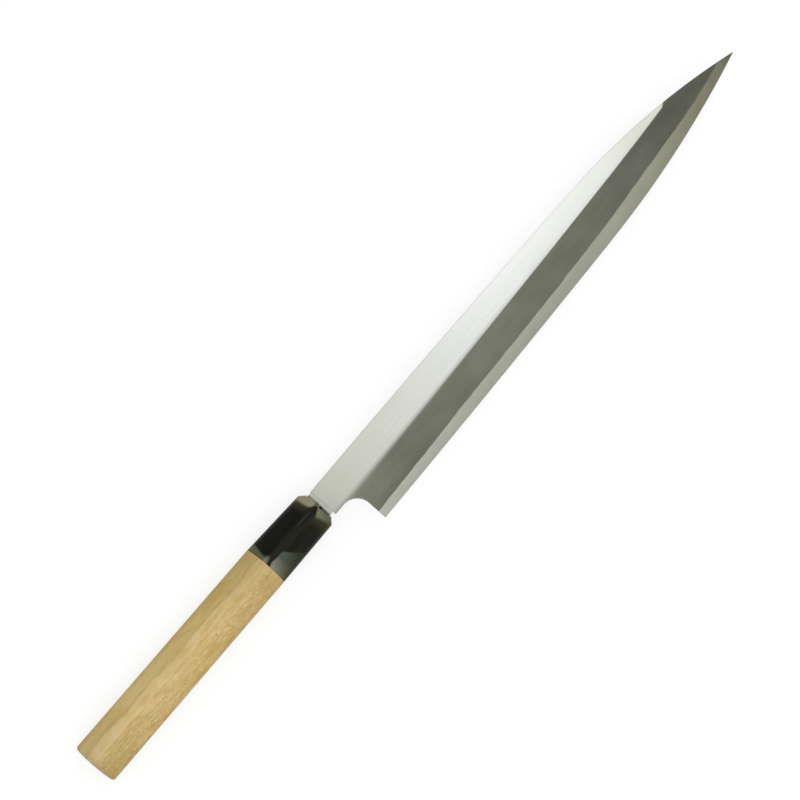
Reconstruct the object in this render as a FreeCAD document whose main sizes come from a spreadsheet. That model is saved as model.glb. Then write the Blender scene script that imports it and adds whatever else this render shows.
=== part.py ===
"""Yanagiba slicing knife, 240 mm blade, as a parametric document in millimetres.

The knife lies flat with its bevelled face up: +X runs from the butt of the handle to the tip,
+Y is the spine side, -Y the edge side and +Z goes up through the thickness. Each piece is drawn
about the mouth of the ferrule, on the axis of the handle, and its Placement moves it so that the
origin is the bottom centre of the whole knife.
"""
import FreeCAD, Part
import math
import os

import Sketcher

SIZES = (
    ("handle_length", 134.0, "butt to the mouth of the ferrule"),
    ("ferrule_length", 31.5, "joint with the wood to the mouth"),
    ("butt_height", 19.5, "section of the handle at the butt, spine side to edge side"),
    ("butt_back", 8.2, "axis to the round back at the butt"),
    ("butt_ridge", 8.8, "axis to the top of the ridge at the butt"),
    ("joint_height", 19.0, "section where wood meets horn"),
    ("joint_back", 7.9, "axis to the round back at the joint"),
    ("joint_ridge", 8.4, "axis to the top of the ridge at the joint"),
    ("mouth_height", 17.4, "section of the horn at the mouth"),
    ("mouth_back", 7.2, "axis to the round back at the mouth"),
    ("mouth_ridge", 7.6, "axis to the top of the ridge at the mouth"),
    ("mouth_lean", 0.45, "lean of the mouth towards the edge side"),
    ("side_radius", 5.0, "rounding of the two sides of the section"),
    ("facet_radius", 30.0, "slight crown of the two facets beside the ridge"),
    ("ridge_radius", 0.8, "rounding of the ridge"),
    ("ridge_shift", 1.0, "ridge to the axis, towards the spine side"),
    ("butt_round", 1.2, "rounding round the butt"),
    ("mouth_chamfer", 2.4, "chamfer round the mouth"),
    ("mouth_round", 0.8, "rounding of the outer edge of that chamfer"),
    ("tenon_diameter", 13.2, "round tenon on the wood"),
    ("tenon_length", 18.0, "tenon inside the horn"),
    ("glue_gap", 0.05, "glue film between tenon and bore"),
    ("bore_relief", 0.4, "space for glue in front of the tenon"),
    ("blade_reach", 242.0, "mouth of the ferrule to the tip"),
    ("machi_gap", 2.0, "mouth to the shoulder of the neck"),
    ("neck_spine", 5.6, "axis to the spine at the neck"),
    ("neck_edge", 7.5, "axis to the underside of the neck"),
    ("heel_reach", 13.8, "mouth to the corner of the heel"),
    ("heel_depth", 23.1, "axis to the corner of the heel"),
    ("heel_lean", 0.5, "lean of the heel from square, in degrees"),
    ("heel_radius", 7.0, "curve from the neck into the heel"),
    ("edge_rise", 3.65, "rise of the edge from the heel to the start of the tip curve"),
    ("edge_belly", 0.32, "bulge of that stretch of the edge"),
    ("tip_curve", 87.0, "length of the curve of the edge at the tip"),
    ("tip_depth", 7.35, "axis to the tip, towards the edge side"),
    ("crown_reach", 160.5, "mouth to the point where the spine starts to drop"),
    ("crown_end", 5.2, "axis to the spine at that point"),
    ("crown_rise", 0.48, "bulge of the spine before that point"),
    ("root_thickness", 3.8, "blade at the mouth"),
    ("tip_thickness", 2.2, "flat continued to the tip"),
    ("bevel_heel", 15.85, "width of the bevel at the heel"),
    ("bevel_middle", 16.4, "width of the bevel where the tip curve starts"),
    ("bevel_tip", 9.5, "width of the bevel continued to the tip"),
    ("edge_land", 0.15, "thickness left at the edge"),
    ("steel_thickness", 1.0, "hard steel layer under the iron"),
    ("steel_start", 7.0, "mouth to the end of the steel in the neck"),
    ("hollow_radius", 215.0, "wheel that hollows the back"),
    ("rim_edge", 1.8, "flat rim of the back along the edge"),
    ("rim_spine", 2.2, "flat rim of the back along the spine"),
    ("corner_chamfer", 0.3, "broken front corners of spine and neck"),
    ("tang_length", 98.0, "tang behind the mouth"),
    ("tang_spine", 5.4, "axis to the spine side of the tang at the shoulder"),
    ("tang_edge", 6.2, "axis to the edge side of the tang at the shoulder"),
    ("tang_thickness", 3.2, "tang at the shoulder"),
    ("tang_end_height", 4.6, "end of the tang"),
    ("tang_end_thickness", 2.0, "end of the tang"),
    ("tang_fit", 0.05, "space round the tang in the burnt-in hole"),
    ("tang_end_gap", 0.5, "space behind the end of the tang"),
    ("slot_play", 0.2, "space round the tang in the slot of the horn"),
    ("slot_front_play", 0.7, "space over the bevelled face of the tang in that slot"),
    ("tang_sink", 1.0, "overlap of the drawn tang with the neck it grows from"),
    ("hollow_overrun", 0.3, "overrun of the hollowing cut below the back"),
    ("margin", 3.0, "overrun of the other cuts past the finished faces"),
)

doc = FreeCAD.newDocument("yanagiba")
sheet = doc.addObject("Spreadsheet::Sheet", "Sizes")
for row, (name, value, note) in enumerate(SIZES, start=1):
    sheet.set(f"A{row}", name)
    sheet.set(f"B{row}", str(value))
    sheet.setAlias(f"B{row}", name)
    sheet.set(f"C{row}", note)
doc.recompute()

ORIGIN = -1
START, END, CENTRE = 1, 2, 3
BACK = "(-Sizes.root_thickness / 2)"

# Every piece moves from the mouth of the ferrule to the bottom centre of the knife
SHIFT = {
    "x": "(Sizes.handle_length - Sizes.blade_reach) / 2",
    "y": "(Sizes.heel_depth - Sizes.butt_height / 2) / 2",
    "z": "Sizes.butt_back",
}


def number(expression):
    """Value of an expression over the sheet."""
    return float(sheet.evalExpression(expression))


def place(piece):
    """Bind the placement of a finished piece to the common shift."""
    for axis, expression in SHIFT.items():
        piece.setExpression(f"Placement.Base.{axis}", expression)


def new_body(name):
    """Empty body for one piece."""
    body = doc.addObject("PartDesign::Body", name)
    body.Label = name
    return body


def new_sketch(body, name, role, offset):
    """Sketch parallel to an origin plane of its body, moved along the plane's normal."""
    sketch = body.newObject("Sketcher::SketchObject", name)
    plane = next(item for item in body.Origin.OriginFeatures if item.Role == role)
    sketch.AttachmentSupport = [(plane, "")]
    sketch.MapMode = "FlatFace"
    sketch.setExpression("AttachmentOffset.Base.z", offset)
    return sketch


def bind(sketch, expression, kind, *where):
    """Add a dimension to a sketch and bind it to an expression."""
    index = sketch.addConstraint(Sketcher.Constraint(kind, *where, number(expression)))
    sketch.setExpression(f"Constraints[{index}]", expression)


def pin(sketch, curve, point, across, up):
    """Fix a point of a curve at two distances from the origin of its sketch."""
    bind(sketch, across, "DistanceX", ORIGIN, START, curve, point)
    bind(sketch, up, "DistanceY", ORIGIN, START, curve, point)


def join(sketch, first, second, kind="Coincident"):
    """Tie the end of one curve to the start of the next."""
    sketch.addConstraint(Sketcher.Constraint(kind, first, END, second, START))


def vector(across, up):
    """Point of a sketch from two expressions."""
    return FreeCAD.Vector(number(across), number(up), 0)


def polygon(sketch, corners):
    """Closed outline of straight lines through corners given as pairs of expressions."""
    points = [vector(across, up) for across, up in corners]
    lines = []
    for first, second in zip(points, points[1:] + points[:1]):
        lines.append(sketch.addGeometry(Part.LineSegment(first, second)))
    for line, following in zip(lines, lines[1:] + lines[:1]):
        join(sketch, line, following)
    for line, (across, up) in zip(lines, corners):
        pin(sketch, line, START, across, up)


def circle_arc(centre, radius, first, last):
    """Arc that runs counter-clockwise between two angles."""
    return Part.ArcOfCircle(Part.Circle(centre, FreeCAD.Vector(0, 0, 1), radius), first, last)


def angle(origin, target):
    """Direction from one point of a sketch to another, as an angle."""
    return math.atan2(target.y - origin.y, target.x - origin.x)


def loft(body, kind, name, sketches, ruled):
    """Loft through sketches that are listed from the tip side to the butt side."""
    feature = body.newObject(kind, name)
    feature.Profile = (sketches[0], [""])
    feature.Sections = [(sketch, [""]) for sketch in sketches[1:]]
    feature.Ruled = ruled
    doc.recompute()
    return feature


def edge_names(shape, wanted):
    """Names of the edges of a shape that pass a test."""
    return [f"Edge{index}" for index, edge in enumerate(shape.Edges, start=1) if wanted(edge)]


def soften(body, kind, name, wanted, size):
    """Chamfer or fillet the edges of the body's last feature that pass a test."""
    base = body.Tip
    feature = body.newObject(kind, name)
    feature.Base = (base, edge_names(base.Shape, wanted))
    feature.setExpression("Size" if kind == "PartDesign::Chamfer" else "Radius", size)
    doc.recompute()


def across_plane(edge, reach):
    """True where an edge lies in the plane square to the knife at a distance along it."""
    box = edge.BoundBox
    near = 1e-4
    return abs(box.XMin - reach) < near and abs(box.XMax - reach) < near


# Cross-section of the handle: an oval back, two round sides and two facets that meet in a ridge
def chestnut(body, name, reach, station, lean="0", inset="0"):
    ridge_sink = 1.2
    side = f"(Sizes.side_radius - {inset})"
    back = f"(Sizes.{station}_back - {inset})"
    ridge_top = f"(Sizes.{station}_ridge - {ridge_sink} * {inset})"
    facet = f"(Sizes.facet_radius - {inset})"
    half = f"(Sizes.{station}_height / 2 - Sizes.side_radius)"
    back_radius = f"(({half}^2 + {back}^2 - {side}^2) / (2 * ({back} - {side})))"
    ridge_up = f"({ridge_top} - Sizes.ridge_radius)"
    ridge_across = f"({lean} + Sizes.ridge_shift)"

    sketch = new_sketch(body, name, "YZ_Plane", reach)
    spine_side = vector(f"{lean} + {half}", "0")
    edge_side = vector(f"{lean} - {half}", "0")
    ridge = vector(ridge_across, ridge_up)
    below = vector(lean, f"{back_radius} - {back}")
    facet_radius = number(facet)
    side_radius = number(side)
    ridge_radius = number("Sizes.ridge_radius")

    def facet_centre(side_centre, sign):
        span = ridge.sub(side_centre)
        to_side = facet_radius - side_radius
        to_ridge = facet_radius - ridge_radius
        along = (to_side ** 2 - to_ridge ** 2 + span.Length ** 2) / (2 * span.Length)
        aside = math.sqrt(to_side ** 2 - along ** 2)
        direction = FreeCAD.Vector(span).normalize()
        normal = FreeCAD.Vector(-direction.y, direction.x, 0)
        return side_centre + direction * along + normal * (sign * aside)

    spine_facet = facet_centre(spine_side, 1)
    edge_facet = facet_centre(edge_side, -1)
    full_turn = 2 * math.pi
    low_spine = angle(below, spine_side)
    low_edge = angle(below, edge_side) % full_turn
    high_spine = angle(spine_facet, spine_side)
    high_edge = angle(edge_facet, edge_side) % full_turn
    ridge_spine = angle(spine_facet, ridge)
    ridge_edge = angle(edge_facet, ridge)
    curves = [
        circle_arc(below, number(back_radius), low_edge, low_spine + full_turn),
        circle_arc(spine_side, side_radius, low_spine, high_spine),
        circle_arc(spine_facet, facet_radius, high_spine, ridge_spine),
        circle_arc(ridge, ridge_radius, ridge_spine, ridge_edge),
        circle_arc(edge_facet, facet_radius, ridge_edge, high_edge),
        circle_arc(edge_side, side_radius, high_edge, low_edge),
    ]
    oval, spine_round, spine_face, crest, edge_face, edge_round = [
        sketch.addGeometry(curve) for curve in curves
    ]
    order = [oval, spine_round, spine_face, crest, edge_face, edge_round]
    for curve, following in zip(order, order[1:] + order[:1]):
        join(sketch, curve, following, "Tangent")
    bind(sketch, back_radius, "Radius", oval)
    for curve, sign in ((spine_round, "+"), (edge_round, "-")):
        bind(sketch, side, "Radius", curve)
        pin(sketch, curve, CENTRE, f"{lean} {sign} {half}", "0")
    for curve in (spine_face, edge_face):
        bind(sketch, facet, "Radius", curve)
    bind(sketch, "Sizes.ridge_radius", "Radius", crest)
    pin(sketch, crest, CENTRE, ridge_across, ridge_up)
    return sketch


# Circle about the axis of the handle, for the tenon and its bore
def ring_section(body, name, reach, diameter):
    sketch = new_sketch(body, name, "YZ_Plane", reach)
    circle = Part.Circle(FreeCAD.Vector(), FreeCAD.Vector(0, 0, 1), number(diameter) / 2)
    ring = sketch.addGeometry(circle)
    sketch.addConstraint(Sketcher.Constraint("Coincident", ring, CENTRE, ORIGIN, START))
    bind(sketch, diameter, "Diameter", ring)
    return sketch


# Tapered rectangle of the tang at a distance along the knife, grown by a clearance
def tang_section(body, name, reach, play):
    shoulder = "Sizes.machi_gap"
    share = f"(({shoulder} - ({reach})) / ({shoulder} + Sizes.tang_length))"
    spine = f"(Sizes.tang_spine + (Sizes.tang_end_height / 2 - Sizes.tang_spine) * {share} + {play})"
    edge = f"(Sizes.tang_edge + (Sizes.tang_end_height / 2 - Sizes.tang_edge) * {share} + {play})"
    change = f"(Sizes.tang_end_thickness - Sizes.tang_thickness) * {share}"
    half = f"((Sizes.tang_thickness + {change}) / 2 + {play})"
    sketch = new_sketch(body, name, "YZ_Plane", reach)
    polygon(sketch, [
        (spine, half),
        (f"-{edge}", half),
        (f"-{edge}", f"-{half}"),
        (spine, f"-{half}"),
    ])
    return sketch


# Magnolia handle: tapered chestnut grip, round tenon in front, burnt-in hole for the tang
def make_handle():
    body = new_body("wood_handle")
    butt = "-Sizes.handle_length"
    joint = "-Sizes.ferrule_length"
    loft(body, "PartDesign::AdditiveLoft", "grip", [
        chestnut(body, "joint_section", joint, "joint"),
        chestnut(body, "butt_section", butt, "butt"),
    ], True)
    soften(body, "PartDesign::Fillet", "butt_rounding",
           lambda edge: across_plane(edge, number(butt)), "Sizes.butt_round")

    tenon = body.newObject("PartDesign::Pad", "tenon")
    tenon.Profile = ring_section(body, "tenon_circle", joint, "Sizes.tenon_diameter")
    tenon.setExpression("Length", "Sizes.tenon_length")
    doc.recompute()

    hole_end = "-(Sizes.tang_length + Sizes.tang_end_gap)"
    loft(body, "PartDesign::SubtractiveLoft", "tang_hole", [
        tang_section(body, "hole_mouth", "-Sizes.margin", "Sizes.tang_fit"),
        tang_section(body, "hole_end", hole_end, "Sizes.tang_fit"),
    ], True)
    place(body)
    return body


# Buffalo horn ferrule: flush with the grip behind, chamfered in front, bored and slotted
def make_ferrule():
    body = new_body("horn_ferrule")
    joint = "-Sizes.ferrule_length"
    chamfer_start = "-Sizes.mouth_chamfer"
    lean = "-Sizes.mouth_lean"
    loft(body, "PartDesign::AdditiveLoft", "cap", [
        chestnut(body, "mouth_section", chamfer_start, "mouth", lean),
        chestnut(body, "rear_section", joint, "joint"),
    ], True)
    loft(body, "PartDesign::AdditiveLoft", "mouth_facet", [
        chestnut(body, "lip_section", "0", "mouth", lean, "Sizes.mouth_chamfer"),
        chestnut(body, "facet_section", chamfer_start, "mouth", lean),
    ], True)
    soften(body, "PartDesign::Fillet", "mouth_rounding",
           lambda edge: across_plane(edge, number(chamfer_start)), "Sizes.mouth_round")

    bore_diameter = "Sizes.tenon_diameter + 2 * Sizes.glue_gap"
    bore = body.newObject("PartDesign::Pocket", "bore")
    bore.Profile = ring_section(body, "bore_circle", joint, bore_diameter)
    bore.Reversed = True
    bore.setExpression("Length", "Sizes.tenon_length + Sizes.bore_relief")
    doc.recompute()

    slot_outline = new_sketch(body, "slot_outline", "YZ_Plane", "0")
    spine = "(Sizes.tang_spine + Sizes.slot_play)"
    edge = "-(Sizes.tang_edge + Sizes.slot_play)"
    front = "(Sizes.tang_thickness / 2 + Sizes.slot_front_play)"
    back = "-(Sizes.tang_thickness / 2 + Sizes.slot_play)"
    polygon(slot_outline, [(spine, front), (edge, front), (edge, back), (spine, back)])
    slot = body.newObject("PartDesign::Pocket", "tang_slot")
    slot.Profile = slot_outline
    slot.setExpression("Length", "Sizes.ferrule_length - Sizes.tenon_length")
    doc.recompute()
    place(body)
    return body


# Edge, spine and bevel at a share of the way from the heel to the start of the tip curve
STRAIGHT = "(Sizes.blade_reach - Sizes.tip_curve - Sizes.heel_reach)"


def spine_line(reach):
    share = f"(({reach} - Sizes.machi_gap) / (Sizes.crown_reach - Sizes.machi_gap))"
    return f"(Sizes.neck_spine + (Sizes.crown_end - Sizes.neck_spine) * {share})"


def straight_station(share):
    reach = f"(Sizes.heel_reach + ({share}) * {STRAIGHT})"
    belly = f"4 * Sizes.edge_belly * ({share}) * (1 - ({share}))"
    edge = f"(({share}) * Sizes.edge_rise - Sizes.heel_depth - {belly})"
    bevel = f"(Sizes.bevel_heel + (Sizes.bevel_middle - Sizes.bevel_heel) * ({share}))"
    return reach, edge, spine_line(reach), bevel


# The same at a share of the way along the tip curve, where edge and spine close in on the tip
def tip_station(share):
    start = "(Sizes.blade_reach - Sizes.tip_curve)"
    reach = f"({start} + {share} * Sizes.tip_curve)"
    slope = f"((Sizes.edge_rise + 4 * Sizes.edge_belly) / {STRAIGHT})"
    rise = "(Sizes.heel_depth - Sizes.edge_rise - Sizes.tip_depth)"
    run = f"({slope} * Sizes.tip_curve)"
    edge = f"(Sizes.edge_rise - Sizes.heel_depth + {run} * {share} + ({rise} - {run}) * {share}^2)"
    spine = f"({spine_line(start)} - (Sizes.tip_depth + {spine_line(start)}) * {share}^2)"
    bevel = f"(Sizes.bevel_middle - (Sizes.bevel_middle - Sizes.bevel_tip) * {share}^2)"
    return reach, edge, spine, bevel


# Height of the flat, which thins evenly from the neck to the tip
def flat_height(reach):
    fall = "(Sizes.root_thickness - Sizes.tip_thickness) / Sizes.blade_reach"
    return f"({BACK} + Sizes.root_thickness - {fall} * {reach})"


# Plan of the blade: crowned spine that drops to the tip, neck, curve into the heel, and spare
# metal past the edge that the grinding takes away
def blade_outline(body):
    sketch = new_sketch(body, "blade_outline", "XY_Plane", BACK)
    neck = vector("Sizes.machi_gap", "Sizes.neck_spine")
    crown = vector("Sizes.crown_reach", "Sizes.crown_end")
    tip = vector("Sizes.blade_reach", "-Sizes.tip_depth")
    chord = crown.sub(neck)
    crown_radius = (
        "(((Sizes.crown_reach - Sizes.machi_gap)^2 + (Sizes.crown_end - Sizes.neck_spine)^2)"
        " / (8 * Sizes.crown_rise) + Sizes.crown_rise / 2)"
    )
    radius = number(crown_radius)
    inward = FreeCAD.Vector(chord.y, -chord.x, 0).normalize()
    crown_centre = (neck + crown) * 0.5 + inward * (radius - number("Sizes.crown_rise"))
    drop_inward = crown_centre.sub(crown).normalize()
    to_tip = tip.sub(crown)
    drop_radius = to_tip.Length ** 2 / (2 * to_tip.dot(drop_inward))
    drop_centre = crown + drop_inward * drop_radius
    spare_reach = "(Sizes.blade_reach + Sizes.margin)"
    spare_depth = "-(Sizes.heel_depth + Sizes.margin)"
    spare_x = number(spare_reach)
    spare_y = drop_centre.y + math.sqrt(drop_radius ** 2 - (spare_x - drop_centre.x) ** 2)
    spare = FreeCAD.Vector(spare_x, spare_y, 0)

    lean = math.radians(number("Sizes.heel_lean"))
    heel = vector("Sizes.heel_reach", "-Sizes.heel_depth")
    heel_low = vector("Sizes.heel_reach - Sizes.margin * tan(Sizes.heel_lean)", spare_depth)
    spare_corner = vector(spare_reach, spare_depth)
    under = -number("Sizes.neck_edge")
    corner = FreeCAD.Vector(heel.x + (under - heel.y) * math.tan(lean), under, 0)
    heel_radius = number("Sizes.heel_radius")
    setback = heel_radius * math.tan(math.radians(45) - lean / 2)
    curve_start = corner + FreeCAD.Vector(-setback, 0, 0)
    curve_end = corner - FreeCAD.Vector(math.sin(lean), math.cos(lean), 0) * setback
    curve_centre = curve_start - FreeCAD.Vector(0, heel_radius, 0)
    shoulder = FreeCAD.Vector(neck.x, under, 0)

    quarter = math.radians(90)
    drop = sketch.addGeometry(circle_arc(drop_centre, drop_radius,
                                         angle(drop_centre, spare), angle(drop_centre, crown)))
    crown_arc = sketch.addGeometry(circle_arc(crown_centre, radius,
                                              angle(crown_centre, crown), angle(crown_centre, neck)))
    machi = sketch.addGeometry(Part.LineSegment(neck, shoulder))
    underside = sketch.addGeometry(Part.LineSegment(shoulder, curve_start))
    curve = sketch.addGeometry(circle_arc(curve_centre, heel_radius, -lean, quarter))
    heel_line = sketch.addGeometry(Part.LineSegment(curve_end, heel_low))
    bottom = sketch.addGeometry(Part.LineSegment(heel_low, spare_corner))
    front = sketch.addGeometry(Part.LineSegment(spare_corner, spare))
    tip_point = sketch.addGeometry(Part.Point(tip), True)
    heel_point = sketch.addGeometry(Part.Point(heel), True)

    join(sketch, drop, crown_arc, "Tangent")
    join(sketch, crown_arc, machi)
    join(sketch, machi, underside)
    sketch.addConstraint(Sketcher.Constraint("Tangent", underside, END, curve, END))
    sketch.addConstraint(Sketcher.Constraint("Tangent", curve, START, heel_line, START))
    join(sketch, heel_line, bottom)
    join(sketch, bottom, front)
    join(sketch, front, drop)
    for line in (machi, front):
        sketch.addConstraint(Sketcher.Constraint("Vertical", line))
    for line in (underside, bottom):
        sketch.addConstraint(Sketcher.Constraint("Horizontal", line))
    pin(sketch, machi, START, "Sizes.machi_gap", "Sizes.neck_spine")
    pin(sketch, crown_arc, START, "Sizes.crown_reach", "Sizes.crown_end")
    bind(sketch, crown_radius, "Radius", crown_arc)
    bind(sketch, "-Sizes.neck_edge", "DistanceY", ORIGIN, START, underside, START)
    bind(sketch, "Sizes.heel_radius", "Radius", curve)
    pin(sketch, tip_point, START, "Sizes.blade_reach", "-Sizes.tip_depth")
    pin(sketch, heel_point, START, "Sizes.heel_reach", "-Sizes.heel_depth")
    sketch.addConstraint(Sketcher.Constraint("PointOnObject", tip_point, START, drop))
    sketch.addConstraint(Sketcher.Constraint("PointOnObject", heel_point, START, heel_line))
    pin(sketch, front, START, spare_reach, spare_depth)
    bind(sketch, "-Sizes.margin * tan(Sizes.heel_lean)", "DistanceX", heel_point, START, heel_line, END)
    return sketch


# One section of the bevel grinding: edge face, bevel plane, and the waste outside them
def grind_section(body, index, station):
    reach, edge, _, bevel = station
    overrun = 0.25
    flat = flat_height(reach)
    land = f"({BACK} + Sizes.edge_land)"
    top_across = f"({edge} + {bevel} * {1 + overrun})"
    top = f"({flat} + ({flat} - {land}) * {overrun})"
    outside = "-(Sizes.heel_depth + 2 * Sizes.margin)"
    below = f"({BACK} - Sizes.margin)"
    sketch = new_sketch(body, f"grind_{index}", "YZ_Plane", reach)
    polygon(sketch, [(edge, below), (edge, land), (top_across, top), (outside, top), (outside, below)])
    return sketch


# One section of the hollow back: the rim stays flat and the wheel's arc dips in between
def hollow_section(body, index, station, share):
    reach, edge, spine, _ = station
    low = f"({edge} + Sizes.rim_edge)"
    high = f"({spine} - Sizes.rim_spine)"
    middle = f"(({low} + {high}) / 2)"
    half = f"(({high} - {low}) / 2 * {share})"
    centre_up = f"({BACK} - sqrt(Sizes.hollow_radius^2 - {half}^2))"
    below = f"({BACK} - Sizes.hollow_overrun)"
    sketch = new_sketch(body, f"hollow_{index}", "YZ_Plane", reach)
    centre = vector(middle, centre_up)
    radius = number("Sizes.hollow_radius")
    rise = math.asin((number(below) - centre.y) / radius)
    curve = circle_arc(centre, radius, rise, math.pi - rise)
    arc = sketch.addGeometry(curve)
    chord = sketch.addGeometry(Part.LineSegment(curve.EndPoint, curve.StartPoint))
    join(sketch, arc, chord)
    join(sketch, chord, arc)
    sketch.addConstraint(Sketcher.Constraint("Horizontal", chord))
    bind(sketch, "Sizes.hollow_radius", "Radius", arc)
    pin(sketch, arc, CENTRE, middle, centre_up)
    bind(sketch, below, "DistanceY", ORIGIN, START, chord, START)
    return sketch


# Whole forging, iron and steel together: padded from its plan, thinned to the tip, ground to the
# bevel, hollowed on the back, with the tang drawn out behind the neck
def make_forging():
    body = new_body("forging")
    pad = body.newObject("PartDesign::Pad", "blank")
    pad.Profile = blade_outline(body)
    pad.setExpression("Length", "Sizes.root_thickness")
    doc.recompute()

    wedge = new_sketch(body, "taper_wedge", "XZ_Plane", "0")
    far = "(Sizes.blade_reach + 2 * Sizes.margin)"
    above = "(Sizes.root_thickness / 2 + Sizes.margin)"
    polygon(wedge, [("0", flat_height("0")), (far, flat_height(far)), (far, above), ("0", above)])
    taper = body.newObject("PartDesign::Pocket", "taper")
    taper.Profile = wedge
    taper.Midplane = True
    taper.setExpression("Length", "4 * Sizes.heel_depth")
    doc.recompute()

    flat_root = number(flat_height("0"))
    flat_tip = number(flat_height("Sizes.blade_reach"))
    fall = (flat_root - flat_tip) / number("Sizes.blade_reach")
    shoulder = number("Sizes.machi_gap")
    lowest = -number("Sizes.neck_edge + Sizes.heel_radius / 2")
    near = 1e-3

    def front_corner(edge):
        points = edge.discretize(3)
        on_flat = all(abs(point.z - flat_root + fall * point.x) < near for point in points)
        return on_flat and points[1].y > lowest and not across_plane(edge, shoulder)

    soften(body, "PartDesign::Chamfer", "front_corners", front_corner, "Sizes.corner_chamfer")

    grind_tip_shares = (1.25, 1, 0.75, 0.5, 0.25)
    stretches = 7
    straight_shares = [1 - step / stretches for step in range(stretches + 2)]
    stations = [tip_station(share) for share in grind_tip_shares]
    stations += [straight_station(share) for share in straight_shares]
    sections = [grind_section(body, index, station) for index, station in enumerate(stations)]
    loft(body, "PartDesign::SubtractiveLoft", "bevel", sections, False)

    hollow_tip_shares = (0.8, 0.55, 0.3)
    closing_widths = ((0.14, 0.8), (0.03, 0.15))
    stations = [tip_station(share) for share in hollow_tip_shares]
    stations += [straight_station(share) for share in straight_shares[:stretches - 1]]
    hollows = [(station, 1) for station in stations]
    hollows += [(straight_station(share), width) for share, width in closing_widths]
    sections = [hollow_section(body, index, *hollow) for index, hollow in enumerate(hollows)]
    loft(body, "PartDesign::SubtractiveLoft", "hollow", sections, False)

    loft(body, "PartDesign::AdditiveLoft", "tang", [
        tang_section(body, "tang_root", "(Sizes.machi_gap + Sizes.tang_sink)", "0"),
        tang_section(body, "tang_end", "-Sizes.tang_length", "0"),
    ], True)
    return body


# Iron and steel: the weld is a plane over the back that ends in the neck
def split_forging(forging):
    zone = doc.addObject("Part::Box", "steel_zone")
    zone.setExpression("Length", "Sizes.blade_reach - Sizes.steel_start + Sizes.margin")
    zone.setExpression("Width", "4 * Sizes.heel_depth")
    zone.setExpression("Height", "Sizes.steel_thickness + Sizes.margin")
    zone.setExpression("Placement.Base.x", "Sizes.steel_start")
    zone.setExpression("Placement.Base.y", "-2 * Sizes.heel_depth")
    zone.setExpression("Placement.Base.z", f"{BACK} - Sizes.margin")
    iron = doc.addObject("Part::Cut", "blade_cladding")
    steel = doc.addObject("Part::Common", "edge_steel")
    for piece in (iron, steel):
        piece.Label = piece.Name
        piece.Base = forging
        piece.Tool = zone
        place(piece)
    return [iron, steel]


pieces = split_forging(make_forging()) + [make_ferrule(), make_handle()]
doc.recompute()

for item in doc.Objects:
    if "Invalid" in item.State or "Error" in item.State:
        raise RuntimeError(f"{item.Name} did not build: {item.State}")
for piece in pieces:
    if piece.Shape.isNull() or not piece.Shape.isValid():
        raise RuntimeError(f"{piece.Label} has no valid shape")

os.makedirs("parts", exist_ok=True)
for piece in pieces:
    piece.Shape.exportStep(f"parts/{piece.Label}.step")
    box = piece.Shape.optimalBoundingBox()
    size = f"{box.XLength:.2f} x {box.YLength:.2f} x {box.ZLength:.2f} mm"
    print(f"{piece.Label}: {piece.Shape.Volume:.0f} mm3, {size}")
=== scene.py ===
"""Looks of the yanagiba knife: the finish of iron, steel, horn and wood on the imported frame.

The knife lies flat with its bevelled face up. +X runs from the butt to the tip, +Y is the spine
side, and all lengths are metres unless they are multiplied by MM.
"""
import math

import bmesh
import bpy
from mathutils import Matrix, Vector


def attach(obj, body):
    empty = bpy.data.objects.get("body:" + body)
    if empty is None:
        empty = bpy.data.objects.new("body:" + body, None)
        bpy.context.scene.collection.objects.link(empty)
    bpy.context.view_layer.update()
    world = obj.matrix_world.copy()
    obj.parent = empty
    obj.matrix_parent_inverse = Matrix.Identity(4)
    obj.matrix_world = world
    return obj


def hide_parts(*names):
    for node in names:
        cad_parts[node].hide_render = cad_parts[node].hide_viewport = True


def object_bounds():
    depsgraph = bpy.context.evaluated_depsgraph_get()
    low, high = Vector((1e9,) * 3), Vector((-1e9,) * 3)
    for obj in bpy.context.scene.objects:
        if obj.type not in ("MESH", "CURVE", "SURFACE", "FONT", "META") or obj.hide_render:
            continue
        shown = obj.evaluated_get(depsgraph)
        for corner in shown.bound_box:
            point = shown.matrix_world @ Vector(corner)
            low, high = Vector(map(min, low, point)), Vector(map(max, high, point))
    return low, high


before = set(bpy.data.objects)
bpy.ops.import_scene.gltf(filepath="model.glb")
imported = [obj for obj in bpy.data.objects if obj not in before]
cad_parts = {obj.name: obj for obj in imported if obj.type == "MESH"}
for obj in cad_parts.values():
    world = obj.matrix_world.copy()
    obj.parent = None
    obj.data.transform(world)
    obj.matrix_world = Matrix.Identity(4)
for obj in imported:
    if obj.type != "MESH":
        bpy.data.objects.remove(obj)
cad_low, cad_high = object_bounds()

# Soft iron body of the blade: the flat, most of the bevel, the spine, the neck and the tang.
# It is forged over the steel, ground on stones, polished on the flat and left misty on the bevel;
# the tang keeps its forge scale where it goes into the handle.
MM = 0.001
SHOULDER_X = -52 * MM
HEEL_X = -40.2 * MM
TIP_X = cad_high.x

# Sockets of a Mix node that blends colours, and the span that most values of a noise lie in
FACTOR, FIRST, SECOND, BLENDED = 0, 6, 7, 2
NOISE_LOW, NOISE_HIGH = 0.3, 0.7


def linear(colour):
    """Linear RGBA of an sRGB hex colour."""
    shares = [int(colour[place:place + 2], 16) / 255 for place in (1, 3, 5)]
    return tuple(c / 12.92 if c <= 0.04045 else ((c + 0.055) / 1.055) ** 2.4 for c in shares) + (1.0,)


def grey(value):
    """Neutral colour of a linear value."""
    return (value, value, value, 1.0)


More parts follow.
